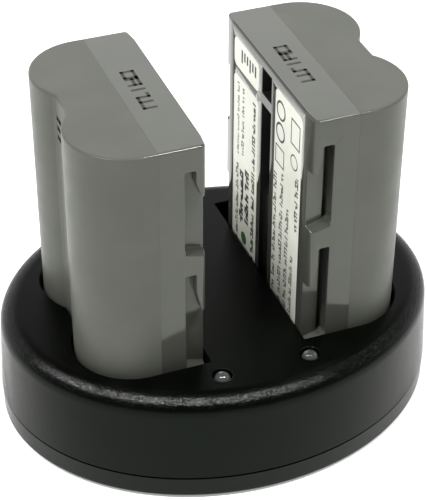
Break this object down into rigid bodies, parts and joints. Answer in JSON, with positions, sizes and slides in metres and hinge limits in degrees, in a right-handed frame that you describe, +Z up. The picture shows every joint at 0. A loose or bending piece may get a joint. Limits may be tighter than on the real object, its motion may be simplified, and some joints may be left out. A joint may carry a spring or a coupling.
{
  "type": "camera battery charger",
  "caption": "Oval desktop charger with facing bays for two-lobed camera battery packs, a charge light in front of each bay and a low-voltage inlet in the back wall, packs seated.",
  "frame": {"origin": "on the table under the middle of the oval base", "axes": "+X from the left bay to the right bay, +Y to the back wall with the inlet, +Z up"},
  "size_m": [0.0816, 0.067, 0.066],
  "materials": {
    "case_black": "fine spark-eroded texture, satin",
    "pack_grey": "smooth satin moulding",
    "label_white": "satin film with dark print",
    "light_clear": "clear cast epoxy",
    "board_green": "solder mask",
    "insulator_black": "smooth moulding",
    "contact_metal": "plated spring strip",
    "lead_metal": "tinned wire",
    "can_aluminium": "drawn can",
    "ferrite": "sintered",
    "winding_copper": "enamelled wire",
    "screw_steel": "zinc plated",
    "foot_rubber": "moulded"
  },
  "bodies": {
    "root": {"top_cover": "case_black", "bottom_cover": "case_black", "led_left": "light_clear", "led_right": "light_clear", "circuit_board": "board_green", "contact_block_left": "insulator_black", "contact_block_right": "insulator_black", "contact_blades_left": "contact_metal", "contact_blades_right": "contact_metal", "led_spacer_left": "insulator_black", "led_spacer_right": "insulator_black", "led_leads": "lead_metal", "power_jack": "insulator_black", "power_jack_pin": "lead_metal", "smoothing_capacitors": "can_aluminium", "choke_core": "ferrite", "choke_coil": "winding_copper", "charge_chips": "insulator_black", "chip_parts": "insulator_black", "case_screws": "screw_steel", "rubber_feet": "foot_rubber", "battery_left": "pack_grey", "battery_left_label_top": "label_white", "battery_left_label_back": "label_white", "battery_left_label_front": "label_white", "battery_left_terminals": "contact_metal", "battery_right": "pack_grey", "battery_right_label_top": "label_white", "battery_right_label_back": "label_white", "battery_right_label_front": "label_white", "battery_right_terminals": "contact_metal"}
  },
  "joints": []
}
